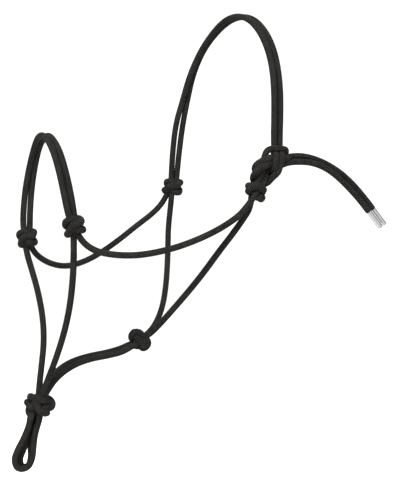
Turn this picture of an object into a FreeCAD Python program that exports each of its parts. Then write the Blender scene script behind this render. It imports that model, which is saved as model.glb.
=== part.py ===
"""Rope halter for a horse: one black braided rope tied into a noseband, cheeks, chin, throat,
jaw and crown, closed at the poll by a doubled sheet bend, with two metal-tipped tails.

Frame, in millimetres: +Z is up, +X is the horse's left, +Y runs from the nose towards the tail.
The origin is the poll seat, the underside of the crown where it lies behind the ears.
"""
import FreeCAD, Part
import math
import os
from FreeCAD import Vector

ROPE_DIAMETER = 6.35
ROPE_RADIUS = ROPE_DIAMETER / 2
ARC_SHARE = 0.45            # share of the shorter run that each arc of a tube takes up

KNOT_RADIUS = 10.5          # two-strand knots, seen along their axis
KNOT_HALF_WIDTH = 8.5       # the same knots, half of their length along the axis
FIADOR_RADIUS = 12.5        # the four-strand knot under the chin
FIADOR_HALF_WIDTH = 13.0
KNOT_ROUNDING = 0.55        # edge fillet as a share of a knot's half width

TIE_RADIUS = 11.5           # the turn of the crown pair round the tie loop
TIE_HALF_WIDTH = 10.0
TIE_ROUNDING = 5.0
TIE_LOW_END = (103.0, -21.5, -173.5)
TIE_HIGH_END = (103.0, -7.0, -163.0)

FERRULE_RADIUS = 2.9        # metal tips, crimped over the ends of the two tails
FERRULE_WALL = 0.4
FERRULE_LENGTH = 22.0
FERRULE_END_WALL = 1.0
FERRULE_ROUNDING = 0.6

# Centres of the knots. Each pair lies on one hinge axis, and each barrel's axis is that hinge's.
NOSE_KNOT_LEFT = (60.0, -213.0, -231.0)
NOSE_KNOT_RIGHT = (-60.0, -224.0, -243.0)
CHEEK_KNOT_LEFT = (105.0, -31.0, -195.0)
CHEEK_KNOT_RIGHT = (-105.0, -31.0, -183.0)
THROAT_KNOT = (0.0, -116.0, -353.0)
FIADOR_KNOT = (0.0, -230.0, -416.0)
LATERAL = (1.0, 0.0, 0.0)

# Routes of the strands between the knots, as laid by hand.
ROUTES = {
    "crown_strand_front": [
        (-105, -34.5, -175), (-107, -33.5, -143), (-106, -29, -109), (-101, -20.5, -80),
        (-91, -15.5, -54), (-76.5, -10.5, -31), (-58, -6.5, -14.5), (-30, -4, 0.5),
        (1, -3.5, 4), (34, -3.5, -2.5), (62.5, -4, -19.5), (84, -5, -41.5), (95.5, -5.5, -65),
        (101, -6.3, -90), (101.5, -6.5, -115), (98.5, -5.5, -138), (97.5, -5, -156)],
    "crown_strand_rear": [
        (-105, -27.5, -175), (-107, -24.5, -143), (-106, -19, -109), (-103, -13, -80),
        (-96.5, -11.5, -52.5), (-82, -6, -28.5), (-62, -1, -12), (-31, 3, 1),
        (0, 3.8, 4.2), (32.5, 3.6, -2.5), (61.5, 3, -20), (83, 2, -42), (95, 1.6, -65.5),
        (101, 0.9, -90), (101.5, 0.6, -115), (98.5, 1.4, -138), (97.5, 1.8, -158)],
    "tie_loop": [
        (106, -31.5, -186), (107.5, -29, -177.5), (107.5, -26.5, -168), (108, -24, -158.5),
        (108.5, -18, -150), (108, -8.5, -147.5), (107.5, 0, -149), (106, 4.5, -155),
        (105, -1, -163.5), (104, -9, -171.5), (104, -16.5, -179.5), (104.5, -23.5, -187.5)],
    "noseband_strand_front": [
        (-60, -227.5, -231), (-62, -227.5, -213), (-62, -227, -189), (-55, -224, -163.5),
        (-37, -223.5, -142), (-9, -225.5, -133), (19.5, -228.5, -138), (42, -230.5, -154.5),
        (56.5, -229, -178), (62, -224, -202.5), (62, -219.3, -219)],
    "noseband_strand_rear": [
        (-60, -220.5, -231), (-62, -220, -214), (-62, -218.5, -190), (-55.5, -217, -163.5),
        (-38, -216.5, -142.5), (-9, -218, -133.5), (21, -221, -138), (45.5, -223, -154.5),
        (58.5, -221.6, -178), (62, -216.3, -202.5), (59, -213, -219)],
    "cheek_strand_right": [
        (-61.5, -220, -251.2), (-65.5, -210.8, -262.7), (-71, -193.4, -271.7),
        (-78, -172.5, -275), (-84.5, -150, -270), (-90, -127.6, -260), (-95.5, -101.8, -244.3),
        (-100.5, -79.5, -228.8), (-105, -57.4, -214.6), (-107.5, -44.2, -202.6),
        (-108, -38.5, -193)],
    "cheek_strand_left": [
        (62.5, -209.6, -240.8), (66.5, -202.8, -250.9), (71, -191.6, -257.6),
        (77, -173.5, -261), (84.5, -150, -261), (92, -121, -255), (97, -96.7, -246.7),
        (102, -71.7, -235.1), (106.5, -51.6, -221.7), (108, -43.2, -212.4), (108, -36.5, -204.5)],
    "chin_strand_right": [
        (-59.5, -224.5, -259.5), (-57, -219.4, -278), (-51, -214.2, -302), (-41, -212.2, -329),
        (-29, -215, -354), (-16, -222, -377), (-6.5, -227.5, -396), (-3.7, -229.5, -408)],
    "chin_strand_left": [
        (59, -213, -247.5), (57.5, -212.5, -265), (53, -212, -288), (45.5, -212.5, -314),
        (34, -214.5, -341), (20.5, -219, -369), (8.5, -224.5, -393), (3.7, -228, -407)],
    "throat_strand_right": [
        (-101.5, -35, -199.5), (-100.5, -37, -213), (-96, -41, -231), (-89, -44.5, -253),
        (-79, -49.6, -275), (-64.5, -57.7, -298), (-46, -70, -321), (-26.5, -86.5, -338),
        (-10.5, -103, -348), (-5, -111, -350)],
    "throat_strand_left": [
        (101.5, -34.5, -211.5), (99.5, -41.5, -223), (94.5, -51.2, -238.5),
        (84.5, -62.8, -257.5), (71, -73.5, -279), (54.5, -83.8, -299.5), (36, -93.5, -319),
        (19, -101.8, -335.8), (8, -107, -345.5), (4, -111.5, -349.5)],
    "jaw_strand_right": [
        (-3.5, -127.5, -358.5), (-3.5, -139, -363.5), (-3.6, -156, -367), (-3.6, -174, -369.5),
        (-3.5, -191, -374), (-3.5, -205, -381), (-3.5, -215, -391)],
    "jaw_strand_left": [
        (3.5, -127.5, -358.5), (3.5, -139, -363), (3.6, -156, -366.5), (3.6, -174, -369),
        (3.5, -191, -373.5), (3.5, -205, -380.5), (3.5, -215, -390.5)],
    "lead_loop_right": [
        (-3.4, -239, -431), (-3.5, -241, -441.5), (-3.6, -244.5, -453), (-3.6, -248.5, -463),
        (-3.5, -251.5, -472.5), (-3.4, -248.5, -480.5), (-3.4, -240.5, -480.5),
        (-3.5, -237, -471.5), (-3.6, -236.5, -461.5), (-3.6, -235.5, -451), (-3.5, -233.5, -441),
        (-3.4, -231, -431)],
    "lead_loop_left": [
        (3.4, -240.5, -431), (3.5, -243.5, -441.5), (3.6, -249, -453), (3.6, -255, -463),
        (3.5, -258.5, -473), (3.4, -254.5, -482.5), (3.4, -243.5, -482), (3.5, -238.5, -472.5),
        (3.6, -237.5, -461.5), (3.6, -236.5, -451), (3.5, -234, -441), (3.4, -230.5, -431)],
    "tail_strand_upper": [
        (102, 10.5, -156.3), (102, 23, -155.7), (102, 37, -158), (102, 54, -163.5),
        (102, 72, -172.7), (102, 88.5, -185.3), (102, 104, -200.8), (102, 114, -212.1)],
    "tail_strand_lower": [
        (106.5, 10.5, -164), (106.5, 22, -163.4), (106.4, 35.5, -163.8), (106.3, 51, -168.2),
        (106.3, 66, -177), (106.3, 81, -189.5), (106.3, 96, -203.6), (106.3, 106.2, -215.2)],
}


def vectors(points):
    """The points as FreeCAD vectors."""
    return [Vector(*point) for point in points]


def rounded_path(node, points):
    """Straight runs joined by tangent arcs, each as large as its two runs allow."""
    edges = []
    radii = []
    start = points[0]
    for before, corner, after in zip(points, points[1:], points[2:]):
        incoming = corner - before
        outgoing = after - corner
        half_turn = incoming.getAngle(outgoing) / 2
        set_back = ARC_SHARE * min(incoming.Length, outgoing.Length)
        radius = set_back / math.tan(half_turn)
        radii.append(radius)
        tangent_in = corner - incoming.normalize() * set_back
        tangent_out = corner + outgoing.normalize() * set_back
        to_centre = (outgoing - incoming).normalize() * (radius / math.cos(half_turn))
        middle = corner + to_centre - Vector(to_centre).normalize() * radius
        edges.append(Part.LineSegment(start, tangent_in).toShape())
        edges.append(Part.Arc(tangent_in, middle, tangent_out).toShape())
        start = tangent_out
    edges.append(Part.LineSegment(start, points[-1]).toShape())
    path = Part.Wire(edges)
    print(f"{node}: {path.Length:.0f} mm long, radii {min(radii):.1f} to {max(radii):.1f} mm")
    return path


def rope_along(node, points):
    """A round rope of one strand, swept along its rounded path."""
    path = rounded_path(node, points)
    section = Part.Wire(Part.makeCircle(ROPE_RADIUS, points[0], points[1] - points[0]))
    rope = path.makePipeShell([section], True, False)
    expected = math.pi * ROPE_RADIUS ** 2 * path.Length
    print(f"    volume is {rope.Volume / expected:.4f} of section times length")
    return rope


def barrel(centre, axis, radius, half_width):
    """The outer shape of a tied knot: a drum with well rounded edges, centred on its axis."""
    direction = Vector(*axis).normalize()
    drum = Part.makeCylinder(radius, 2 * half_width, Vector(*centre) - direction * half_width, direction)
    rims = [edge for edge in drum.Edges if len(edge.Vertexes) == 1]
    return drum.makeFillet(KNOT_ROUNDING * half_width, rims)


def between(low, high):
    """The direction from one point to another, as a tuple."""
    return tuple(b - a for a, b in zip(low, high))


def tie_knot(loop):
    """The crown pair's turn round the tie loop, as an oblong drum with the loop's passage in it."""
    low = Vector(*TIE_LOW_END)
    high = Vector(*TIE_HIGH_END)
    lateral = Vector(*LATERAL)
    along = (high - low).normalize()
    across = lateral.cross(along)
    side = across * TIE_RADIUS
    back = lateral * TIE_HALF_WIDTH
    outline = Part.Wire([
        Part.LineSegment(low + side - back, high + side - back).toShape(),
        Part.Arc(high + side - back, high + along * TIE_RADIUS - back, high - side - back).toShape(),
        Part.LineSegment(high - side - back, low - side - back).toShape(),
        Part.Arc(low - side - back, low - along * TIE_RADIUS - back, low + side - back).toShape()])
    drum = Part.Face(outline).extrude(lateral * 2 * TIE_HALF_WIDTH)
    rims = [edge for edge in drum.Edges if abs(edge.tangentAt(edge.FirstParameter).dot(lateral)) < 0.5]
    return drum.makeFillet(TIE_ROUNDING, rims).cut(loop)


def tail_with_stub(node, points):
    """A tail strand, with the narrower heat-sealed end that its metal tip is crimped on."""
    rope = rope_along(node, points)
    direction = (points[-1] - points[-2]).normalize()
    stub = Part.makeCylinder(FERRULE_RADIUS - FERRULE_WALL, FERRULE_LENGTH - FERRULE_END_WALL,
                             points[-1], direction)
    return rope.fuse(stub)


def ferrule(points):
    """A thin-walled metal cap over a tail's end, open towards the rope and closed at the tip."""
    mouth = points[-1]
    direction = (points[-1] - points[-2]).normalize()
    body = Part.makeCylinder(FERRULE_RADIUS, FERRULE_LENGTH, mouth, direction)
    tip = mouth + direction * FERRULE_LENGTH
    rim = [edge for edge in body.Edges
           if len(edge.Vertexes) == 1 and edge.CenterOfMass.distanceToPoint(tip) < FERRULE_END_WALL]
    body = body.makeFillet(FERRULE_ROUNDING, rim)
    bore = Part.makeCylinder(FERRULE_RADIUS - FERRULE_WALL, FERRULE_LENGTH - FERRULE_END_WALL,
                             mouth, direction)
    return body.cut(bore)


def build():
    """All nodes of the halter, as a dictionary of node name to solid."""
    nose_axis = between(NOSE_KNOT_RIGHT, NOSE_KNOT_LEFT)
    cheek_axis = between(CHEEK_KNOT_RIGHT, CHEEK_KNOT_LEFT)
    nodes = {}
    for node, route in ROUTES.items():
        make = tail_with_stub if node.startswith("tail") else rope_along
        nodes[node] = make(node, vectors(route))
    for name, centre, axis in (
            ("nose_knot_left", NOSE_KNOT_LEFT, nose_axis),
            ("nose_knot_right", NOSE_KNOT_RIGHT, nose_axis),
            ("cheek_knot_left", CHEEK_KNOT_LEFT, cheek_axis),
            ("cheek_knot_right", CHEEK_KNOT_RIGHT, cheek_axis),
            ("throat_knot", THROAT_KNOT, LATERAL)):
        nodes[name] = barrel(centre, axis, KNOT_RADIUS, KNOT_HALF_WIDTH)
    nodes["fiador_knot"] = barrel(FIADOR_KNOT, LATERAL, FIADOR_RADIUS, FIADOR_HALF_WIDTH)
    nodes["tie_knot"] = tie_knot(nodes["tie_loop"])
    for place in ("upper", "lower"):
        nodes[f"tail_ferrule_{place}"] = ferrule(vectors(ROUTES[f"tail_strand_{place}"]))
    return nodes


os.makedirs("parts", exist_ok=True)
for node_name, solid in build().items():
    solid.exportStep(f"parts/{node_name}.step")
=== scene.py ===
"""A rope halter: knotted noseband, cheeks, throat latch, jaw and crown of one braided rope."""

import math

import bpy  # noqa: E402
import numpy as np  # noqa: E402
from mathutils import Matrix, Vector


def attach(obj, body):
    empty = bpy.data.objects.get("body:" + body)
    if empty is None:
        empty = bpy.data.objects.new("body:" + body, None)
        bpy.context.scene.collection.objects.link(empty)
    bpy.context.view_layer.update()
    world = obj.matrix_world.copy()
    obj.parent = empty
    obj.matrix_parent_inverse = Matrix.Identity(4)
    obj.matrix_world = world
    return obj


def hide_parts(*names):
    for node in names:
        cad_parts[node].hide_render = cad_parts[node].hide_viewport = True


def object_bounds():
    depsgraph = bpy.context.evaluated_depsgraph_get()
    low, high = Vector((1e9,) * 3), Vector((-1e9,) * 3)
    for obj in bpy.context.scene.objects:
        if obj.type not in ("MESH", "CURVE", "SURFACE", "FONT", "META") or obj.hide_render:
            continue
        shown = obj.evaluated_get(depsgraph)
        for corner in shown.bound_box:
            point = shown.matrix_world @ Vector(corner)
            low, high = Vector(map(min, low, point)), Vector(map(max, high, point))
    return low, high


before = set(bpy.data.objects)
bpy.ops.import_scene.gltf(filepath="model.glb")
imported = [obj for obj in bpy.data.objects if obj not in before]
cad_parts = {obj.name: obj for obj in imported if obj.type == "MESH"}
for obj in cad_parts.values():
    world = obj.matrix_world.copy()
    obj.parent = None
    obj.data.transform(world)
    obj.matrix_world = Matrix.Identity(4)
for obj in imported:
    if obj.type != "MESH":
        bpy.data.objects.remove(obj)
cad_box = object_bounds()

# ---------------------------------------------------------------- camera
AIM = np.array((0.0, -0.045, -0.248))
AZIMUTH = 65.0  # of the camera, in degrees; the two directions below belong to it
TO_CAMERA = np.array((0.9063, -0.4226, 0.0))
CAMERA_RIGHT = np.array((0.4226, 0.9063, 0.0))
DISTANCE = 1.5
LENS = 101.2

camera_data = bpy.data.cameras.new("camera")
camera_data.lens = LENS
camera_data.sensor_width = 36.0
camera_data.clip_start = 0.05
camera = bpy.data.objects.new("camera", camera_data)
camera.location = AIM + DISTANCE * TO_CAMERA
camera.rotation_euler = (math.radians(90), 0, math.radians(AZIMUTH))
bpy.context.scene.collection.objects.link(camera)
bpy.context.scene.camera = camera

# ---------------------------------------------------------------- rope
ROPE = 0.00635  # diameter of the rope
CARRIERS = 8  # yarn bundles each way round the braid
CELL = 0.0024  # length along the rope of one crossing of two bundles
SAMPLES = 4  # mesh points across a bundle, and along a crossing
RING = CARRIERS * SAMPLES
RING_STEP = CELL / SAMPLES
GROOVE = 0.17  # depth of the furrows between the bundles, of the radius
CREST = 1.10  # height of a bundle's back, of the radius
INNER = 0.94  # thickness of a rope that runs on inside another, of its own
SWELL = 1.10  # thickness of a rope pressed flat in a knot, of its own
THIN_SHARE = 0.7  # of the hidden length; a knot's rope grows wider from there on
CREASES = 6  # pressed along each metal tip
SEALED = 0.0015  # length over which a cut end is melted round
TIP_ROUND = 0.76  # width of the cut face of a sealed end, of the rope's

ROUTES = {
    "crown_strand_front": [
        (-0.1048, -0.0335, -0.18), (-0.1046, -0.0336, -0.175), (-0.1059, -0.0312, -0.143),
        (-0.1053, -0.0275, -0.109), (-0.1008, -0.0201, -0.08), (-0.0913, -0.0162, -0.054),
        (-0.0769, -0.0113, -0.031), (-0.0586, -0.0078, -0.0145), (-0.0303, -0.0046, 0.0005),
        (0.0008, -0.004, 0.004), (0.0337, -0.0041, -0.0025), (0.0622, -0.0046, -0.0195),
        (0.0838, -0.0055, -0.0415), (0.0955, -0.0056, -0.065), (0.101, -0.0064, -0.09),
        (0.1015, -0.0066, -0.115), (0.0985, -0.0056, -0.138), (0.0983, -0.005, -0.149),
    ],
    "crown_strand_rear": [
        (-0.1048, -0.0275, -0.18), (-0.1047, -0.0268, -0.175), (-0.1062, -0.0228, -0.143),
        (-0.1057, -0.0183, -0.109), (-0.1031, -0.0132, -0.08), (-0.0957, -0.0099, -0.0525),
        (-0.0817, -0.0054, -0.0285), (-0.0621, -0.0012, -0.012), (-0.0314, 0.0021, 0.001),
        (-0.0007, 0.0038, 0.0042), (0.0315, 0.0046, -0.0025), (0.0606, 0.0041, -0.02),
        (0.082, 0.003, -0.042), (0.0938, 0.0021, -0.0655), (0.0998, 0.0014, -0.09),
        (0.1003, 0.0011, -0.115), (0.0973, 0.0019, -0.138), (0.0981, 0.0015, -0.149),
    ],
    "tie_loop": [
        (0.1055, -0.0315, -0.1915), (0.1055, -0.028, -0.186), (0.106, -0.0245, -0.178),
        (0.1062, -0.0225, -0.168), (0.107, -0.0215, -0.16), (0.1085, -0.019, -0.152),
        (0.109, -0.011, -0.1503), (0.108, 0, -0.1503), (0.106, 0.0055, -0.1515),
        (0.102, 0.0045, -0.1575), (0.101, -0.0065, -0.165), (0.103, -0.015, -0.172),
        (0.104, -0.0187, -0.18), (0.1045, -0.0215, -0.186), (0.1048, -0.025, -0.1915),
    ],
    "noseband_strand_front": [
        (-0.0595, -0.227, -0.238), (-0.0604, -0.2283, -0.231), (-0.062, -0.2275, -0.213),
        (-0.0612, -0.2254, -0.189), (-0.0544, -0.2227, -0.1635), (-0.0366, -0.2226, -0.1423),
        (-0.0093, -0.2262, -0.1346), (0.0193, -0.2289, -0.1393), (0.0426, -0.2292, -0.1545),
        (0.0573, -0.2274, -0.178), (0.0621, -0.2238, -0.2025), (0.0616, -0.2201, -0.219),
        (0.0615, -0.2175, -0.226),
    ],
    "noseband_strand_rear": [
        (-0.0605, -0.221, -0.238), (-0.0601, -0.2208, -0.231), (-0.062, -0.22, -0.214),
        (-0.0619, -0.2183, -0.19), (-0.0553, -0.2165, -0.1635), (-0.0381, -0.2167, -0.1428),
        (-0.0095, -0.2191, -0.135), (0.02, -0.2232, -0.1392), (0.0454, -0.2232, -0.1545),
        (0.0588, -0.221, -0.178), (0.0619, -0.2165, -0.2025), (0.059, -0.213, -0.219),
        (0.0588, -0.2115, -0.226),
    ],
    "cheek_strand_right": [
        (-0.0603, -0.2225, -0.246), (-0.0615, -0.22, -0.2512), (-0.0655, -0.2108, -0.2627),
        (-0.071, -0.1934, -0.2717), (-0.078, -0.1725, -0.275), (-0.0845, -0.15, -0.27),
        (-0.09, -0.1276, -0.26), (-0.0955, -0.1018, -0.2443), (-0.1005, -0.0795, -0.2288),
        (-0.105, -0.0574, -0.2146), (-0.1075, -0.0442, -0.2026), (-0.108, -0.0385, -0.193),
        (-0.107, -0.035, -0.1875),
    ],
    "cheek_strand_left": [
        (0.061, -0.212, -0.235), (0.0625, -0.2096, -0.2408), (0.0665, -0.2028, -0.2509),
        (0.071, -0.1916, -0.2576), (0.077, -0.1735, -0.261), (0.0845, -0.15, -0.261),
        (0.092, -0.121, -0.255), (0.097, -0.0967, -0.2467), (0.102, -0.0717, -0.2351),
        (0.1065, -0.0516, -0.2217), (0.108, -0.0432, -0.2124), (0.108, -0.0365, -0.2045),
        (0.1083, -0.0326, -0.198),
    ],
    "chin_strand_right": [
        (-0.06, -0.226, -0.249), (-0.0595, -0.2245, -0.2595), (-0.057, -0.2194, -0.278),
        (-0.051, -0.2142, -0.302), (-0.041, -0.2122, -0.329), (-0.029, -0.215, -0.354),
        (-0.016, -0.222, -0.377), (-0.0065, -0.2275, -0.396), (-0.0037, -0.2295, -0.408),
        (-0.0039, -0.2305, -0.413),
    ],
    "chin_strand_left": [
        (0.0595, -0.2135, -0.2365), (0.059, -0.213, -0.2475), (0.0575, -0.2125, -0.265),
        (0.053, -0.212, -0.288), (0.0455, -0.2125, -0.314), (0.034, -0.2145, -0.341),
        (0.0205, -0.219, -0.369), (0.0085, -0.2245, -0.393), (0.0037, -0.228, -0.407),
        (0.0039, -0.2295, -0.4125),
    ],
    "throat_strand_right": [
        (-0.1025, -0.0335, -0.1895), (-0.1015, -0.035, -0.1995), (-0.1005, -0.037, -0.213),
        (-0.096, -0.041, -0.231), (-0.089, -0.0445, -0.253), (-0.079, -0.0496, -0.275),
        (-0.0645, -0.0577, -0.298), (-0.046, -0.07, -0.321), (-0.0265, -0.0865, -0.338),
        (-0.0105, -0.103, -0.348), (-0.005, -0.111, -0.35),
    ],
    "throat_strand_left": [
        (0.1022, -0.0338, -0.2005), (0.1015, -0.0345, -0.2115), (0.0995, -0.0415, -0.223),
        (0.0945, -0.0512, -0.2385), (0.0845, -0.0628, -0.2575), (0.071, -0.0735, -0.279),
        (0.0545, -0.0838, -0.2995), (0.036, -0.0935, -0.319), (0.019, -0.1018, -0.3358),
        (0.008, -0.107, -0.3455), (0.004, -0.1115, -0.3495),
    ],
    "jaw_strand_right": [
        (-0.0033, -0.121, -0.356), (-0.0035, -0.1275, -0.3579), (-0.0035, -0.139, -0.3625),
        (-0.0036, -0.156, -0.3662), (-0.0036, -0.174, -0.3686), (-0.0035, -0.191, -0.373),
        (-0.0035, -0.205, -0.3797), (-0.0035, -0.215, -0.3894), (-0.0033, -0.221, -0.4015),
        (-0.003, -0.227, -0.4105),
    ],
    "jaw_strand_left": [
        (0.0033, -0.121, -0.356), (0.0035, -0.1275, -0.3595), (0.0035, -0.139, -0.3654),
        (0.0036, -0.156, -0.3685), (0.0036, -0.174, -0.3709), (0.0035, -0.191, -0.3759),
        (0.0035, -0.205, -0.3837), (0.0035, -0.215, -0.3925), (0.0033, -0.221, -0.401),
        (0.003, -0.227, -0.4105),
    ],
    "lead_loop_right": [
        (-0.0032, -0.2375, -0.425), (-0.0034, -0.239, -0.431), (-0.003, -0.2399, -0.4415),
        (-0.0026, -0.2423, -0.453), (-0.0025, -0.2461, -0.463), (-0.003, -0.2504, -0.4725),
        (-0.0033, -0.2482, -0.4814), (-0.0033, -0.2403, -0.4812), (-0.0038, -0.2375, -0.4715),
        (-0.0044, -0.2381, -0.4615), (-0.0044, -0.2371, -0.451), (-0.0038, -0.2342, -0.441),
        (-0.0034, -0.231, -0.431), (-0.0032, -0.2305, -0.425),
    ],
    "lead_loop_left": [
        (0.0032, -0.2385, -0.425), (0.0034, -0.2405, -0.431), (0.0035, -0.2435, -0.4415),
        (0.0036, -0.249, -0.453), (0.0036, -0.255, -0.463), (0.0035, -0.2585, -0.473),
        (0.0034, -0.2545, -0.4825), (0.0034, -0.2435, -0.482), (0.0035, -0.2385, -0.4725),
        (0.0036, -0.2375, -0.4615), (0.0036, -0.2365, -0.451), (0.0035, -0.234, -0.441),
        (0.0034, -0.2305, -0.431), (0.0032, -0.23, -0.425),
    ],
    "tail_strand_upper": [
        (0.1023, 0.0045, -0.1588), (0.102, 0.0105, -0.158), (0.102, 0.023, -0.1566),
        (0.102, 0.037, -0.1583), (0.102, 0.054, -0.1635), (0.102, 0.072, -0.1727),
        (0.102, 0.0885, -0.1853), (0.102, 0.104, -0.2008), (0.102, 0.114, -0.2121),
    ],
    "tail_strand_lower": [
        (0.1055, 0.0045, -0.1652), (0.1065, 0.0105, -0.1638), (0.1065, 0.022, -0.1632),
        (0.1064, 0.0355, -0.1638), (0.1063, 0.051, -0.1682), (0.1063, 0.066, -0.177),
        (0.1063, 0.081, -0.1895), (0.1063, 0.096, -0.2036), (0.1063, 0.1062, -0.2152),
    ],
}


def across(vectors):
    """Each vector at length 1."""
    return vectors / np.linalg.norm(vectors, axis=-1, keepdims=True)


def run_of(line):
    """Distance along a line at each of its points."""
    steps = np.linalg.norm(np.diff(line, axis=0), axis=1)
    return np.concatenate(([0.0], np.cumsum(steps)))


def evenly(line, step):
    """The same line with its points about one step apart."""
    run = run_of(line)
    count = max(4, int(round(run[-1] / step)) + 1)
    at = np.linspace(0, run[-1], count)
    return np.stack([np.interp(at, run, line[:, k]) for k in range(3)], axis=1)


def spline_line(points):
    """The smooth line of a NURBS spline with these control points."""
    curve = bpy.data.curves.new("route", "CURVE")
    curve.dimensions = "3D"
    spline = curve.splines.new("NURBS")
    spline.points.add(len(points) - 1)
    for point, place in zip(spline.points, points):
        point.co = (*place, 1.0)
    spline.order_u = 3
    spline.use_endpoint_u = True
    spline.resolution_u = 24
    holder = bpy.data.objects.new("route", curve)
    mesh = bpy.data.meshes.new_from_object(holder)
    line = np.array([v.co for v in mesh.vertices], float)
    bpy.data.objects.remove(holder)
    bpy.data.curves.remove(curve)
    bpy.data.meshes.remove(mesh)
    return line


def through(points, step):
    """A smooth line that passes through each of the points."""
    p = np.asarray(points, float)
    p = np.vstack((2 * p[0] - p[1], p, 2 * p[-1] - p[-2]))
    t = np.linspace(0, 1, 24, endpoint=False)[:, None]
    parts = []
    for a, b, c, d in zip(p, p[1:], p[2:], p[3:]):
        parts.append(
            0.5 * (2 * b + (c - a) * t + (2 * a - 5 * b + 4 * c - d) * t**2 + (3 * b - a - 3 * c + d) * t**3)
        )
    parts.append(p[-2][None])
    return evenly(np.vstack(parts), step)


def ring_sides(line):
    """Two directions across the line at each point, turning as little as possible along it."""
    ahead = across(np.gradient(line, axis=0))
    start = np.eye(3)[np.argmin(np.abs(ahead[0]))]
    sides = []
    side = start
    for direction in ahead:
        side = side - direction * (side @ direction)
        side = side / np.linalg.norm(side)
        sides.append(side)
    sides = np.array(sides)
    return sides, np.cross(ahead, sides)


def braid_rings(line, radius, hidden=0.0, sealed=False):
    """Points of a braided tube: rings x points x 3, with the bundles standing out.

    A rope of a knot is thinner where it is hidden at each end, and grows wider between them.
    A sealed rope is round at its last end.
    """
    count = len(line)
    sides, others = ring_sides(line)
    column = np.arange(RING)
    angle = 2 * math.pi * column / RING
    row = np.arange(count)[:, None]
    one_way = np.sin(math.pi * ((column + row) % SAMPLES) / SAMPLES)
    other_way = np.sin(math.pi * ((column - row) % SAMPLES) / SAMPLES)
    bulge = np.sqrt(one_way * other_way)
    scale = CREST - GROOVE * (1 - bulge)
    if hidden:
        run = run_of(line)
        inward = np.minimum(run, run[-1] - run) / hidden
        swell = INNER + (SWELL - INNER) * np.clip(inward - THIN_SHARE, 0, 1)
        scale = scale * swell[:, None]
    if sealed:
        left = np.clip((run_of(line)[-1] - run_of(line)) / SEALED, 0, 1)
        scale = scale * (TIP_ROUND + (1 - TIP_ROUND) * np.sqrt(1 - (1 - left) ** 2))[:, None]
    around = sides[:, None] * np.cos(angle)[None, :, None] + others[:, None] * np.sin(angle)[None, :, None]
    return line[:, None] + around * radius * scale[..., None]


def braid_mesh(name, tubes):
    """One mesh of several braided tubes, closed at their ends, with the braid's own UV map."""
    points, faces, uvs = [], [], []
    base = 0
    for rings in tubes:
        count = len(rings)
        points.append(rings.reshape(-1, 3))
        column = np.arange(RING)
        row = np.arange(count - 1)[:, None]
        here = base + row * RING + column
        there = base + row * RING + (column + 1) % RING
        quads = np.stack((here, there, there + RING, here + RING), axis=-1).reshape(-1, 4)
        faces.extend(quads.tolist())
        left = np.broadcast_to(column / SAMPLES, (count - 1, RING))
        right = left + 1 / SAMPLES
        low = np.broadcast_to(row / SAMPLES, (count - 1, RING))
        high = low + 1 / SAMPLES
        corners = (left, low, right, low, right, high, left, high)
        uvs.append(np.stack(corners, axis=-1).reshape(-1, 2))
        for first, order in ((base, -1), (base + (count - 1) * RING, 1)):
            faces.append([first + int(i) for i in column[::order]])
            uvs.append(np.zeros((RING, 2)))
        base += count * RING
    mesh = bpy.data.meshes.new(name)
    mesh.from_pydata(np.vstack(points).tolist(), [], faces)
    layer = mesh.uv_layers.new(name="braid_uv")
    layer.data.foreach_set("uv", np.vstack(uvs).astype(np.float32).ravel())
    mesh.polygons.foreach_set("use_smooth", [True] * len(mesh.polygons))
    mesh.update()
    return mesh


def add_object(name, mesh, material, body, node):
    """A piece that stands for a CAD node and moves with a body."""
    mesh.materials.append(material)
    piece = bpy.data.objects.new(name, mesh)
    bpy.context.scene.collection.objects.link(piece)
    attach(piece, body)
    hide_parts(node)
    return piece


# ---------------------------------------------------------------- materials
def node_maker(material):
    """Functions that add a node, and a Math node, to a material."""
    tree = material.node_tree

    def add(kind, **values):
        node = tree.nodes.new(kind)
        for key, value in values.items():
            setattr(node, key, value)
        return node

    def math_node(operation, first, second=None):
        node = add("ShaderNodeMath", operation=operation)
        for index, value in enumerate((first, second)):
            if value is None:
                continue
            if isinstance(value, (int, float)):
                node.inputs[index].default_value = value
            else:
                tree.links.new(value, node.inputs[index])
        return node.outputs[0]

    return add, math_node


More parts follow.
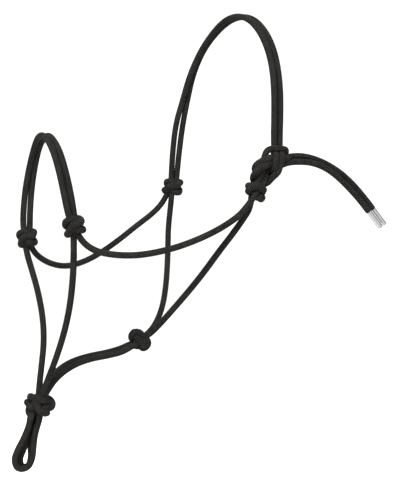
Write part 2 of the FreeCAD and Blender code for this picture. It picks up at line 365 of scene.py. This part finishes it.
def rope_material():
    """Dull, nearly black braided polyester: yarn ribs along each bundle, with painted shade between the
    yarns and in the furrows between the bundles, light fuzz.
    """
    material = bpy.data.materials.new("rope_braid")
    material.use_nodes = True
    tree = material.node_tree
    shader = tree.nodes["Principled BSDF"]
    add, calc = node_maker(material)
    uv = add("ShaderNodeUVMap", uv_map="braid_uv")
    split = add("ShaderNodeSeparateXYZ")
    tree.links.new(uv.outputs[0], split.inputs[0])
    one_way = calc("ADD", split.outputs[0], split.outputs[1])
    other_way = calc("SUBTRACT", split.outputs[0], split.outputs[1])
    cells = calc("ADD", calc("FLOOR", one_way), calc("FLOOR", other_way))
    upper = calc("FLOORED_MODULO", cells, 2.0)
    lower = calc("SUBTRACT", 1.0, upper)
    width = calc("ADD", calc("MULTIPLY", one_way, lower), calc("MULTIPLY", other_way, upper))
    rib = calc("ABSOLUTE", calc("SINE", calc("MULTIPLY", width, 2 * math.pi)))
    centre_one = calc("ABSOLUTE", calc("SUBTRACT", calc("FRACT", one_way), 0.5))
    centre_other = calc("ABSOLUTE", calc("SUBTRACT", calc("FRACT", other_way), 0.5))
    edge = calc("MAXIMUM", centre_one, centre_other)
    # Painted shade: the colour darkens towards the furrows between the bundles.
    furrow_shade = add("ShaderNodeMapRange")
    furrow_shade.inputs["From Min"].default_value = 0.16
    furrow_shade.inputs["From Max"].default_value = 0.50
    furrow_shade.inputs["To Min"].default_value = 1.0
    furrow_shade.inputs["To Max"].default_value = 0.04
    tree.links.new(edge, furrow_shade.inputs["Value"])

    place = add("ShaderNodeTexCoord")
    fuzz = add("ShaderNodeTexNoise")
    fuzz.inputs["Scale"].default_value = 900.0
    fuzz.inputs["Detail"].default_value = 3.0
    tree.links.new(place.outputs["Object"], fuzz.inputs["Vector"])
    wear = add("ShaderNodeTexNoise")
    wear.inputs["Scale"].default_value = 70.0
    wear.inputs["Detail"].default_value = 2.0
    tree.links.new(place.outputs["Object"], wear.inputs["Vector"])

    tone = calc("ADD", calc("MULTIPLY", wear.outputs[0], 0.2), calc("MULTIPLY", fuzz.outputs[0], 0.8))
    colour = add("ShaderNodeValToRGB")
    colour.color_ramp.elements[0].position = 0.36
    colour.color_ramp.elements[0].color = (0.0048, 0.0047, 0.0041, 1)
    colour.color_ramp.elements[1].position = 0.64
    colour.color_ramp.elements[1].color = (0.0300, 0.0292, 0.0259, 1)
    tree.links.new(tone, colour.inputs[0])
    # Painted shade: the colour is darker between the yarns of each bundle and in the furrows between the
    # bundles.
    shade = calc("MULTIPLY", furrow_shade.outputs[0], calc("ADD", 0.42, calc("MULTIPLY", rib, 0.86)))
    mix = add("ShaderNodeMix", data_type="RGBA", blend_type="MULTIPLY")
    mix.inputs["Factor"].default_value = 1.0
    tree.links.new(colour.outputs[0], mix.inputs[6])
    tree.links.new(shade, mix.inputs[7])
    tree.links.new(mix.outputs[2], shader.inputs["Base Color"])

    height = calc("ADD", calc("MULTIPLY", rib, 0.6), calc("MULTIPLY", fuzz.outputs[0], 0.5))
    bump = add("ShaderNodeBump")
    bump.inputs["Strength"].default_value = 0.85
    bump.inputs["Distance"].default_value = 0.0003
    tree.links.new(height, bump.inputs["Height"])
    tree.links.new(bump.outputs[0], shader.inputs["Normal"])

    rough = add("ShaderNodeMapRange")
    rough.inputs["To Min"].default_value = 0.72
    rough.inputs["To Max"].default_value = 0.92
    tree.links.new(fuzz.outputs[0], rough.inputs["Value"])
    tree.links.new(rough.outputs[0], shader.inputs["Roughness"])
    shader.inputs["Specular IOR Level"].default_value = 0.04
    return material


def ferrule_material():
    """Bright plated metal, with fine lines along it and painted shade in the pressed creases."""
    material = bpy.data.materials.new("ferrule_metal")
    material.use_nodes = True
    tree = material.node_tree
    shader = tree.nodes["Principled BSDF"]
    add, calc = node_maker(material)
    uv = add("ShaderNodeUVMap", uv_map="metal_uv")
    stretch = add("ShaderNodeMapping")
    stretch.inputs["Scale"].default_value = (60.0, 1.5, 1.0)
    tree.links.new(uv.outputs[0], stretch.inputs[0])
    lines = add("ShaderNodeTexNoise")
    lines.inputs["Scale"].default_value = 1.0
    lines.inputs["Detail"].default_value = 3.0
    tree.links.new(stretch.outputs[0], lines.inputs["Vector"])
    colour = add("ShaderNodeValToRGB")
    colour.color_ramp.elements[0].position = 0.35
    colour.color_ramp.elements[0].color = (0.17, 0.17, 0.174, 1)
    colour.color_ramp.elements[1].position = 0.60
    colour.color_ramp.elements[1].color = (0.40, 0.40, 0.405, 1)
    tree.links.new(lines.outputs[0], colour.inputs[0])
    split = add("ShaderNodeSeparateXYZ")
    tree.links.new(uv.outputs[0], split.inputs[0])
    # Painted shade: the base colour darkens along the pressed creases.
    from_crease = calc("ABSOLUTE", calc("SINE", calc("MULTIPLY", split.outputs[0], math.pi * CREASES)))
    crease_shade = add("ShaderNodeMapRange")
    crease_shade.inputs["From Min"].default_value = 0.18
    crease_shade.inputs["From Max"].default_value = 0.34
    crease_shade.inputs["To Min"].default_value = 0.12
    crease_shade.inputs["To Max"].default_value = 1.0
    tree.links.new(from_crease, crease_shade.inputs["Value"])
    mix = add("ShaderNodeMix", data_type="RGBA", blend_type="MULTIPLY")
    mix.inputs["Factor"].default_value = 1.0
    tree.links.new(colour.outputs[0], mix.inputs[6])
    tree.links.new(crease_shade.outputs[0], mix.inputs[7])
    tree.links.new(mix.outputs[2], shader.inputs["Base Color"])
    rough = add("ShaderNodeMapRange")
    rough.inputs["To Min"].default_value = 0.18
    rough.inputs["To Max"].default_value = 0.38
    tree.links.new(lines.outputs[0], rough.inputs["Value"])
    tree.links.new(rough.outputs[0], shader.inputs["Roughness"])
    bump = add("ShaderNodeBump")
    bump.inputs["Strength"].default_value = 0.3
    bump.inputs["Distance"].default_value = 0.0001
    tree.links.new(lines.outputs[0], bump.inputs["Height"])
    tree.links.new(bump.outputs[0], shader.inputs["Normal"])
    shader.inputs["Metallic"].default_value = 1.0
    return material


ROPE_FINISH = rope_material()
METAL_FINISH = ferrule_material()

# ---------------------------------------------------------------- strands
STRANDS = {
    "crown_strand_front": ("crown", 0.460),
    "crown_strand_rear": ("crown", 0.465),
    "tie_loop": ("crown", 0.116),
    "noseband_strand_front": ("noseband", 0.262),
    "noseband_strand_rear": ("noseband", 0.264),
    "cheek_strand_right": ("cheek_frame", 0.232),
    "cheek_strand_left": ("cheek_frame", 0.213),
    "chin_strand_right": ("chin", 0.178),
    "chin_strand_left": ("chin", 0.187),
    "throat_strand_right": ("throat", 0.216),
    "throat_strand_left": ("throat", 0.200),
    "jaw_strand_right": ("jaw", 0.125),
    "jaw_strand_left": ("jaw", 0.124),
    "lead_loop_right": ("lead_loop", 0.121),
    "lead_loop_left": ("lead_loop", 0.130),
    "tail_strand_upper": ("tail", 0.128),
    "tail_strand_lower": ("tail", 0.120),
}

LINES = {}
for name, points in ROUTES.items():
    LINES[name] = evenly(spline_line(points), RING_STEP)

for name, (body, length) in STRANDS.items():
    line = LINES[name]
    mesh = braid_mesh(name + "_rope", [braid_rings(line, ROPE / 2, sealed=body == "tail")])
    add_object(name + "_rope", mesh, ROPE_FINISH, body, name)

# ---------------------------------------------------------------- knots
GAP_STEP = 0.25  # spacing of a knot's points, in rope diameters
HELD = 4  # points held still at each end of a knot's ropes
STAGES = 4  # times that the points are spaced evenly again while a knot is drawn tight
PUSHES = 4  # most times that points which are too near are pushed apart in one round
NEIGHBOURS = 1.5  # points nearer than this along one rope may be nearer than a diameter


def cylinder_points(points, turn):
    """Radius, angle in degrees and height, turned about the axis, as points in space."""
    out = []
    for radius, angle, height in points:
        a = math.radians(angle + turn)
        out.append((radius * math.cos(a), radius * math.sin(a), height))
    return np.array(out)


def tighten(ropes, rounds, pull, apart, still=()):
    """Draws the ropes of a knot straight while they keep their thickness. Units are rope diameters.

    Each round moves every free point towards the middle of its two neighbours, then pushes apart
    the points that are nearer than the ropes' thickness allows.
    """
    ropes = [evenly(rope, GAP_STEP) for rope in ropes]
    for _ in range(STAGES):
        points = np.vstack(ropes)
        sizes = [len(rope) for rope in ropes]
        owner = np.repeat(np.arange(len(ropes)), sizes)
        place = np.concatenate([np.arange(size) for size in sizes])
        last = np.array(sizes)[owner]
        free = (place >= HELD) & (place < last - HELD) & ~np.isin(owner, still)
        moving = np.nonzero(free)[0]
        a, b = np.triu_indices(len(points), 1)
        told = (owner[a] != owner[b]) | (np.abs(place[a] - place[b]) * GAP_STEP > NEIGHBOURS)
        told &= free[a] | free[b]
        a, b = a[told], b[told]
        free_a, free_b = free[a].astype(float), free[b].astype(float)
        share = free_a + free_b
        for _ in range(rounds // STAGES):
            middle = (points[moving - 1] + points[moving + 1]) / 2
            points[moving] += pull * (middle - points[moving])
            for _ in range(PUSHES):
                between = points[b] - points[a]
                gap = np.linalg.norm(between, axis=1)
                close = gap < apart
                if not close.any():
                    break
                ac, bc = a[close], b[close]
                reach = (apart - gap[close]) / share[close] / np.maximum(gap[close], 1e-9)
                push = between[close] * reach[:, None]
                total = np.zeros_like(points)
                count = np.zeros(len(points))
                np.add.at(total, ac, -push * free_a[close][:, None])
                np.add.at(total, bc, push * free_b[close][:, None])
                np.add.at(count, ac, free_a[close])
                np.add.at(count, bc, free_b[close])
                points += total / np.maximum(1, count / 2)[:, None]
        ropes = [evenly(points[owner == i], GAP_STEP) for i in range(len(ropes))]
    return ropes


def two_rope_knot():
    """Two ropes that each go down the middle, once round the outside, and down the middle again."""
    wrap, height, reach, core = 430, 1.5, 1.6, 0.6
    guide = [(0.55, 0, 3.4), (0.55, 0, 2.6), (core, 0, 1.2), (core, 0, -0.2)]
    guide += [(core + 0.3, 10, -0.95 * height), (0.85 * reach, 45, -1.1 * height)]
    for i in range(7):
        share = i / 6
        guide.append((reach, 80 + (wrap - 160) * share, (1.7 * share - 0.85) * height))
    guide += [(0.85 * reach, wrap - 45, 1.1 * height), (core + 0.35, wrap - 8, 0.95 * height)]
    guide += [(core, wrap, 0.2), (core, wrap, -1.2), (0.55, wrap, -2.6), (0.55, wrap, -3.4)]
    ropes = [through(cylinder_points(guide, turn), GAP_STEP) for turn in (0, 180)]
    return tighten(ropes, 250, 0.15, 0.98)


TWO_ROPE_KNOT = two_rope_knot()
UP = np.array((0.0, 0.0, 1.0))


def leaning(degrees):
    """The upward axis leaned to the left as the camera sees it."""
    angle = math.radians(degrees)
    return UP * math.cos(angle) - CAMERA_RIGHT * math.sin(angle)


# Each rope of a knot runs from a strand's end in at the top to a strand's end out at the bottom.
KNOTS = {
    "nose_knot_left": {
        "body": "cheek_frame",
        "centre": (0.0600, -0.2130, -0.2310),
        "axis": leaning(16),
        "turn": 82,
        "ropes": (
            (("noseband_strand_rear", -1), ("cheek_strand_left", 0)),
            (("noseband_strand_front", -1), ("chin_strand_left", 0)),
        ),
    },
    "nose_knot_right": {
        "body": "cheek_frame",
        "centre": (-0.0600, -0.2240, -0.2430),
        "axis": leaning(10),
        "turn": 72,
        "ropes": (
            (("noseband_strand_rear", 0), ("cheek_strand_right", 0)),
            (("noseband_strand_front", 0), ("chin_strand_right", 0)),
        ),
    },
    "cheek_knot_right": {
        "body": "crown",
        "centre": (-0.1050, -0.0310, -0.1830),
        "axis": UP,
        "turn": 55,
        "ropes": (
            (("crown_strand_rear", 0), ("throat_strand_right", 0)),
            (("crown_strand_front", 0), ("cheek_strand_right", -1)),
        ),
    },
}
SQUEEZE = np.array((0.84, 0.84, 0.98))  # size of a knot drawn tight, of one whose ropes only touch
EASE_ROUNDS, EASE_PULL, EASE_APART = 24, 0.08, 0.80
CORE_END = 0.3  # height above and below the middle where a model knot's rope is cut, in rope diameters
SHARED = 1.3  # length that a knot's rope runs on inside a strand, in rope diameters


def strand_end(name, end):
    """A strand's last few points, ending at its tip inside the knot."""
    line = LINES[name] if end == -1 else LINES[name][::-1]
    count = int(round(SHARED * ROPE / RING_STEP))
    return line[-count:]


def knot_lines(spec):
    """The ropes of a knot in the frame, joined to their strands' ends."""
    axis = across(np.array(spec["axis"]))
    side = across(CAMERA_RIGHT - axis * (axis @ CAMERA_RIGHT))
    turn = math.radians(spec["turn"])
    first = side * math.cos(turn) + np.cross(axis, side) * math.sin(turn)
    turned = np.stack((first, np.cross(axis, first), axis))
    centre = np.array(spec["centre"])
    joined = []
    for rope, (start, end) in zip(TWO_ROPE_KNOT, spec["ropes"]):
        body = rope[middle_part(rope)] * SQUEEZE
        head = (strand_end(*start) - centre) @ turned.T / ROPE
        tail = (strand_end(*end)[::-1] - centre) @ turned.T / ROPE
        joined.append(evenly(np.vstack((head, body, tail)), GAP_STEP))
    eased = tighten(joined, EASE_ROUNDS, EASE_PULL, EASE_APART)
    return [through(rope @ turned * ROPE + centre, RING_STEP) for rope in eased]


def knot_piece(name, body, lines):
    """A knot of braided ropes that grow thinner where they run on inside the strands."""
    tubes = [braid_rings(line, ROPE / 2, SHARED * ROPE) for line in lines]
    return add_object(name + "_ropes", braid_mesh(name + "_ropes", tubes), ROPE_FINISH, body, name)


def middle_part(rope):
    """Marks the points of a model knot's rope between its two ends in the core."""
    run = run_of(rope)
    low = run[np.argmax(rope[:, 2] < CORE_END)]
    high = run[-1] - run_of(rope[::-1])[np.argmax(rope[::-1, 2] > -CORE_END)]
    return (run >= low) & (run <= high)


for name, spec in KNOTS.items():
    knot_piece(name, spec["body"], knot_lines(spec))

# ---------------------------------------------------------------- knots laid from listed points
# Right, away from the camera and up from the knot's centre, in rope diameters. The size is how
# tightly the knot is drawn: 1 leaves it as laid.
LAID = {
    "cheek_knot_left": {
        "body": "crown",
        "centre": (0.1050, -0.0310, -0.1950),
        "size": 0.97,
        "ropes": (
            (
                ("tie_loop", -1),
                (
                    (0.30, 0.30, 0.90), (0.05, 0.35, 0.10), (-0.05, -0.10, -0.65), (0.40, -0.70, -0.88),
                    (0.88, -0.25, -0.75), (0.75, 0.75, -0.45), (-0.10, 1.20, 0.10), (-0.85, 0.95, 0.15),
                    (-1.12, 0.05, 0.08), (-0.85, -0.85, 0.40), (-0.25, -1.25, 0.80), (0.35, -1.30, 0.82),
                    (0.85, -0.95, 0.45), (1.10, -0.10, 0.20), (0.65, 0.75, 0.10), (0.00, 0.55, -0.20),
                    (-0.35, 0.10, -0.80),
                ),
                ("throat_strand_left", 0),
            ),
            (
                ("tie_loop", 0),
                (
                    (0.50, 0.20, 1.40), (0.80, 0.55, 0.90), (0.50, 1.05, 0.55), (0.10, 1.00, 0.45),
                    (-0.10, 0.55, 0.75), (0.00, -0.10, 0.95), (0.35, -0.35, 0.75), (0.50, -0.15, 0.35),
                    (0.20, -0.35, -0.20), (0.00, -0.60, -0.70),
                ),
                ("cheek_strand_left", -1),
            ),
        ),
    },
    "throat_knot": {
        "body": "throat",
        "centre": (0.0, -0.1166, -0.3526),
        "size": 0.92,
        "ropes": (
            (
                ("throat_strand_left", -1),
                (
                    (1.00, 0.20, 0.90), (0.45, 0.45, 0.45), (-0.35, 0.60, 0.20), (-1.05, 0.40, 0.10),
                    (-1.05, -0.45, 0.20), (-0.75, -0.80, 0.75), (0.00, -0.85, 0.95), (0.70, -0.70, 0.60),
                    (1.02, -0.45, 0.00), (0.85, -0.15, -0.65), (0.42, 0.10, -1.20), (0.05, 0.75, -0.90),
                    (-0.20, 0.50, -0.40), (-0.80, 0.20, -0.45),
                ),
                ("jaw_strand_left", 0),
            ),
            (
                ("throat_strand_right", -1),
                (
                    (0.20, 0.90, 0.90), (-0.10, 1.10, 0.40), (-0.75, 0.85, 0.40), (-1.00, 0.00, 0.50),
                    (-0.70, -0.95, 0.35), (0.00, -1.45, -0.05), (0.60, -1.25, -0.50), (0.90, -0.50, -0.65),
                    (0.55, 0.30, -0.55), (-0.10, 0.00, -0.35), (-0.75, -0.40, -0.60),
                ),
                ("jaw_strand_right", 0),
            ),
        ),
    },
    "fiador_knot": {
        "body": "chin",
        "centre": (0.0, -0.2305, -0.4165),
        "size": 0.90,
        "ropes": (
            (
                ("chin_strand_right", -1),
                (
                    (-0.35, 0.00, 0.55), (-0.60, -0.70, 0.35), (-0.35, -1.15, -0.05), (0.15, -1.35, -0.55),
                    (0.75, -1.30, -1.10), (1.30, -0.70, -1.35), (1.35, 0.30, -1.05), (0.60, 1.15, -0.55),
                    (-0.50, 1.35, -0.20), (-1.40, 0.80, 0.00), (-1.80, -0.15, 0.00), (-1.40, -0.95, -0.25),
                    (-0.75, -0.95, -0.75),
                ),
                ("lead_loop_right", -1),
            ),
            (
                ("jaw_strand_left", -1),
                (
                    (0.35, 0.40, 0.50), (-0.55, 0.50, 0.15), (-1.30, 0.55, 0.70),
                    (-1.55, -0.25, 1.35), (-1.25, -1.00, 1.50), (-0.60, -1.40, 1.22), (0.10, -1.50, 0.90),
                    (0.75, -1.20, 0.82), (1.00, -0.50, 0.75), (0.95, 0.45, 0.50), (0.40, 0.90, 0.10),
                    (-0.50, 0.60, -0.60),
                ),
                ("lead_loop_right", 0),
            ),
            (
                ("jaw_strand_right", -1),
                (
                    (0.80, 0.75, 0.75), (1.15, 0.60, 0.40), (1.22, -0.30, 0.25),
                    (1.15, -0.95, 0.00), (0.75, -1.00, -0.45), (0.25, -0.70, -0.95),
                ),
                ("lead_loop_left", -1),
            ),
            (
                ("chin_strand_left", -1),
                (
                    (0.30, -0.20, 0.30), (0.20, 0.40, -0.20), (0.10, 1.20, -0.90), (-0.50, 1.20, -1.15),
                    (-0.85, 0.50, -1.25), (-0.95, -0.30, -1.35),
                ),
                ("lead_loop_left", 0),
            ),
        ),
    },
}
LAID_ROUNDS, LAID_PULL, LAID_APART = 24, 0.05, 0.88


def laid_lines(spec):
    """Ropes through listed points, from strands' ends above to strands' ends below."""
    centre = np.array(spec["centre"])
    turned = np.stack((CAMERA_RIGHT, np.cross(UP, CAMERA_RIGHT), UP))
    ropes = []
    for start, points, end in spec["ropes"]:
        head = (strand_end(*start)[::4] - centre) @ turned.T / ROPE
        tail = (strand_end(*end)[::-4] - centre) @ turned.T / ROPE
        drawn = np.array(points) * spec["size"]
        ropes.append(through(np.vstack((head, drawn, tail)), GAP_STEP))
    ropes = tighten(ropes, LAID_ROUNDS, LAID_PULL, LAID_APART)
    return [through(rope @ turned * ROPE + centre, RING_STEP) for rope in ropes]


for name, spec in LAID.items():
    knot_piece(name, spec["body"], laid_lines(spec))

# ---------------------------------------------------------------- tie
TIE_ROPES = (
    (
        (0.0983, -0.0050, -0.1505), (0.1020, -0.0070, -0.1553), (0.1070, -0.0093, -0.1568),
        (0.1110, -0.0113, -0.1595), (0.1125, -0.0125, -0.1640), (0.1122, -0.0129, -0.1685),
        (0.1095, -0.0115, -0.1725), (0.1040, -0.0090, -0.1760), (0.0985, -0.0120, -0.1785),
        (0.0965, -0.0190, -0.1785), (0.0975, -0.0260, -0.1750), (0.1010, -0.0300, -0.1710),
        (0.1055, -0.0300, -0.1675), (0.1095, -0.0270, -0.1650), (0.1120, -0.0215, -0.1620),
        (0.1110, -0.0160, -0.1603), (0.1070, -0.0085, -0.1595), (0.1040, -0.0010, -0.1585),
    ),
    (
        (0.0983, 0.0018, -0.1505), (0.1020, 0.0000, -0.1553), (0.1070, -0.0020, -0.1570),
        (0.1110, -0.0038, -0.1600), (0.1125, -0.0048, -0.1650), (0.1120, -0.0068, -0.1703),
        (0.1100, -0.0105, -0.1765), (0.1055, -0.0140, -0.1830), (0.0995, -0.0190, -0.1875),
        (0.0965, -0.0260, -0.1865), (0.0985, -0.0305, -0.1825), (0.1035, -0.0320, -0.1785),
        (0.1090, -0.0315, -0.1745), (0.1120, -0.0280, -0.1703), (0.1130, -0.0222, -0.1676),
        (0.1120, -0.0165, -0.1660), (0.1075, -0.0080, -0.1650), (0.1058, -0.0010, -0.1650),
    ),
)
TIE_ENDS = (
    (("crown_strand_front", -1), ("tail_strand_upper", 0)),
    (("crown_strand_rear", -1), ("tail_strand_lower", 0)),
)


def tie_lines():
    """The crown's two ropes through the loop, round behind it, over it and under themselves."""
    centre = np.array((0.105, -0.015, -0.165))
    ropes = []
    for points, (start, end) in zip(TIE_ROPES, TIE_ENDS):
        whole = np.vstack((strand_end(*start)[::4], points, strand_end(*end)[::-4]))
        ropes.append((through(whole, GAP_STEP * ROPE) - centre) / ROPE)
    loop = (evenly(LINES["tie_loop"], GAP_STEP * ROPE) - centre) / ROPE
    ropes = tighten([*ropes, loop], 60, 0.08, 0.88, still=(2,))
    return [through(rope * ROPE + centre, RING_STEP) for rope in ropes[:2]]


knot_piece("tie_knot", "crown", tie_lines())

# ---------------------------------------------------------------- ferrules
FERRULE_LAP = 0.0008  # length of rope that the cap's mouth covers
FERRULE_SIDES = 60
CREASE_DEPTH = 0.05  # of the radius
CREASE_WIDTH = 0.2  # a crease is where the wave round the cap is nearer to zero than this
TIP_POINTS = 12  # points at a strand's end that give the cap its direction
FERRULES = {"tail_ferrule_upper": "tail_strand_upper", "tail_ferrule_lower": "tail_strand_lower"}
# distance along the cap, radius: rolled mouth, straight body, rounded closed end
FERRULE_PROFILE = (
    (0.0012, 0.0024), (0.0003, 0.0025), (0.0000, 0.0027), (0.0003, 0.0029), (0.0009, 0.0029),
    (0.0012, 0.00284), (0.0024, 0.00284), (0.0210, 0.00284), (0.0220, 0.0029), (0.0222, 0.00287),
    (0.0226, 0.0026), (0.0228, 0.0022), (0.0228, 0.0012), (0.0227, 0.0003),
)


def ferrule_mesh(name, tip, direction):
    """A metal cap from just behind the strand's tip outwards, with creases pressed along it."""
    direction = across(direction)
    side = across(np.cross(direction, (1.0, 0.0, 0.0)))
    other = np.cross(direction, side)
    start = tip - direction * FERRULE_LAP
    angle = 2 * math.pi * np.arange(FERRULE_SIDES) / FERRULE_SIDES
    crease = np.abs(np.sin(angle * CREASES / 2)) < CREASE_WIDTH
    around = side * np.cos(angle)[:, None] + other * np.sin(angle)[:, None]
    around = around * (1 - CREASE_DEPTH * crease)[:, None]
    points = np.vstack([start + direction * along + around * radius for along, radius in FERRULE_PROFILE])
    count = len(FERRULE_PROFILE)
    faces, uvs = [], []
    for row in range(count - 1):
        for column in range(FERRULE_SIDES):
            after = (column + 1) % FERRULE_SIDES
            low, high = row * FERRULE_SIDES, (row + 1) * FERRULE_SIDES
            faces.append((low + column, low + after, high + after, high + column))
            left, right = column / FERRULE_SIDES, (column + 1) / FERRULE_SIDES
            uvs += [(left, row / count), (right, row / count)]
            uvs += [(right, (row + 1) / count), (left, (row + 1) / count)]
    for first, order in ((0, -1), ((count - 1) * FERRULE_SIDES, 1)):
        faces.append([first + i for i in range(FERRULE_SIDES)][::order])
        uvs += [(0.5, 0.5)] * FERRULE_SIDES
    mesh = bpy.data.meshes.new(name)
    mesh.from_pydata(points.tolist(), [], faces)
    layer = mesh.uv_layers.new(name="metal_uv")
    layer.data.foreach_set("uv", np.array(uvs, np.float32).ravel())
    mesh.polygons.foreach_set("use_smooth", [True] * len(mesh.polygons))
    mesh.update()
    return mesh


for name, strand in FERRULES.items():
    line = LINES[strand]
    mesh = ferrule_mesh(name + "_cap", line[-1], line[-1] - line[-TIP_POINTS])
    add_object(name + "_cap", mesh, METAL_FINISH, "tail", name)

for name, (body, length) in STRANDS.items():
    line = LINES[name]

# ---------------------------------------------------------------- floor and light
FLOOR_DROP = 0.10
FLOOR_SIZE = 80.0

floor_material = bpy.data.materials.new("floor")
floor_material.use_nodes = True
floor_shader = floor_material.node_tree.nodes["Principled BSDF"]
floor_shader.inputs["Base Color"].default_value = (0.88, 0.88, 0.88, 1)
floor_shader.inputs["Roughness"].default_value = 0.9
floor_mesh = bpy.data.meshes.new("floor")
half = FLOOR_SIZE / 2
floor_corners = [(-half, -half, 0), (half, -half, 0), (half, half, 0), (-half, half, 0)]
floor_mesh.from_pydata(floor_corners, [], [(0, 1, 2, 3)])
floor_mesh.materials.append(floor_material)
floor = bpy.data.objects.new("floor", floor_mesh)
floor.location = (0, 0, cad_box[0].z - FLOOR_DROP)
bpy.context.scene.collection.objects.link(floor)

world = bpy.data.worlds.new("studio")
world.use_nodes = True
world.node_tree.nodes["Background"].inputs["Color"].default_value = (1, 1, 1, 1)
world.node_tree.nodes["Background"].inputs["Strength"].default_value = 1.2
bpy.context.scene.world = world

# Each light: its place, its size and its power.
LIGHTS = {
    "key": ((1.5, -1.5, 1.4), 1.0, 150.0),
    "fill": ((1.7, 0.9, 0.6), 1.4, 16.0),
    "top": ((-0.3, 0.0, 1.9), 1.8, 30.0),
}
for name, (place, size, power) in LIGHTS.items():
    light = bpy.data.lights.new(name, "AREA")
    light.shape = "DISK"
    light.size = size
    light.energy = power
    lamp = bpy.data.objects.new(name, light)
    lamp.location = place
    away = Vector(place) - Vector(AIM)
    lamp.rotation_euler = away.to_track_quat("Z", "Y").to_euler()
    bpy.context.scene.collection.objects.link(lamp)

bpy.context.scene.view_settings.view_transform = "Standard"
